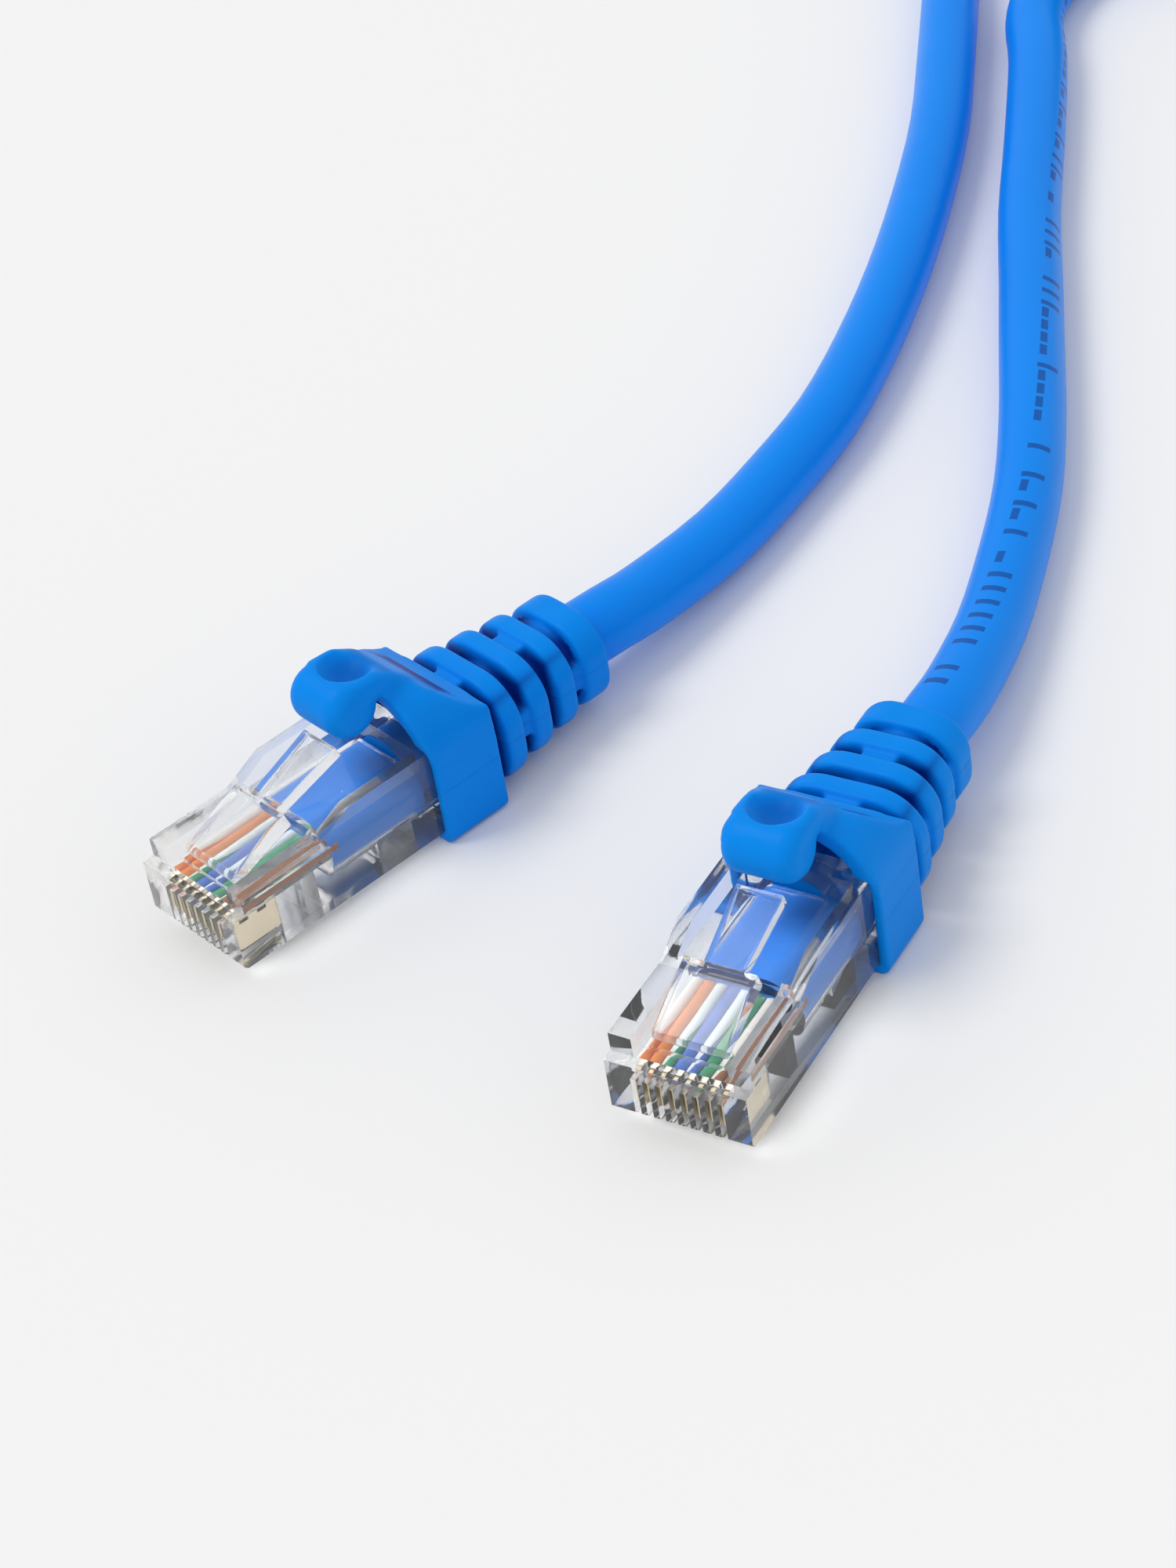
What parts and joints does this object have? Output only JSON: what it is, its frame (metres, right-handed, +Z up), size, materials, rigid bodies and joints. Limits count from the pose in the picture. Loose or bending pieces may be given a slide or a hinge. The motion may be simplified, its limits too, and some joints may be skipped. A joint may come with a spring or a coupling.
{
  "type": "ethernet patch cable",
  "caption": "Round network patch cable with a clear modular plug and a snagless ribbed boot at each end, its spare length lying in a coil.",
  "frame": {"origin": "on the table, under the middle of the box that holds the two plugs with their boots", "axes": "+Z up, with both plugs lying latch side up; the nose of plug B faces -Y and its cable runs towards +Y, and plug A is turned 18 degrees from it"},
  "size_m": [0.0834, 0.2511, 0.0168],
  "materials": {
    "clear_polycarbonate": "clear, glossy, moulded",
    "gold_contact": "gold plated, bright",
    "blue_jacket": "satin extruded vinyl",
    "blue_boot": "satin moulded soft vinyl",
    "white_orange": "insulation, white with an orange stripe",
    "orange": "insulation",
    "white_green": "insulation, white with a green stripe",
    "blue": "insulation",
    "white_blue": "insulation, white with a blue stripe",
    "green": "insulation",
    "white_brown": "insulation, white with a brown stripe",
    "brown": "insulation"
  },
  "bodies": {
    "cable": {"plug_housing_a": "clear_polycarbonate", "wire_clamp_a": "clear_polycarbonate", "jacket_clamp_a": "clear_polycarbonate", "jacket_end_a": "blue_jacket", "boot_a": "blue_boot", "contact_a_1": "gold_contact", "contact_a_2": "gold_contact", "contact_a_3": "gold_contact", "contact_a_4": "gold_contact", "contact_a_5": "gold_contact", "contact_a_6": "gold_contact", "contact_a_7": "gold_contact", "contact_a_8": "gold_contact", "conductor_a_1": "white_orange", "conductor_a_2": "orange", "conductor_a_3": "white_green", "conductor_a_4": "blue", "conductor_a_5": "white_blue", "conductor_a_6": "green", "conductor_a_7": "white_brown", "conductor_a_8": "brown", "plug_housing_b": "clear_polycarbonate", "wire_clamp_b": "clear_polycarbonate", "jacket_clamp_b": "clear_polycarbonate", "jacket_end_b": "blue_jacket", "boot_b": "blue_boot", "contact_b_1": "gold_contact", "contact_b_2": "gold_contact", "contact_b_3": "gold_contact", "contact_b_4": "gold_contact", "contact_b_5": "gold_contact", "contact_b_6": "gold_contact", "contact_b_7": "gold_contact", "contact_b_8": "gold_contact", "conductor_b_1": "white_orange", "conductor_b_2": "orange", "conductor_b_3": "white_green", "conductor_b_4": "blue", "conductor_b_5": "white_blue", "conductor_b_6": "green", "conductor_b_7": "white_brown", "conductor_b_8": "brown", "cable_lead_a": "blue_jacket", "cable_lead_b": "blue_jacket", "cable_coil": "blue_jacket"},
    "latch_tab_a": {"latch_a": "clear_polycarbonate"},
    "hood_a": {"boot_hood_a": "blue_boot"},
    "latch_tab_b": {"latch_b": "clear_polycarbonate"},
    "hood_b": {"boot_hood_b": "blue_boot"}
  },
  "joints": [
    {"name": "hood_press_a", "type": "hinge", "parent": "cable", "child": "hood_a", "pos_m": [-0.01567, 0.00613, 0.0107], "axis": [0.9511, -0.309, 0], "range_deg": [0, 11], "stiffness_Nm_per_rad": 0.02},
    {"name": "latch_flex_a", "type": "hinge", "parent": "cable", "child": "latch_tab_a", "pos_m": [-0.02257, -0.01512, 0.007], "axis": [0.9511, -0.309, 0], "range_deg": [-8.8, 0], "stiffness_Nm_per_rad": 0.003},
    {"name": "hood_press_b", "type": "hinge", "parent": "cable", "child": "hood_b", "pos_m": [0.02235, 0.00274, 0.0107], "axis": [1, 0, 0], "range_deg": [0, 11], "stiffness_Nm_per_rad": 0.02},
    {"name": "latch_flex_b", "type": "hinge", "parent": "cable", "child": "latch_tab_b", "pos_m": [0.02235, -0.01961, 0.007], "axis": [1, 0, 0], "range_deg": [-8.8, 0], "stiffness_Nm_per_rad": 0.003}
  ],
  "couplings": [
    {"joint": "latch_flex_a", "follows": "hood_press_a", "ratio": -0.8},
    {"joint": "latch_flex_b", "follows": "hood_press_b", "ratio": -0.8}
  ]
}
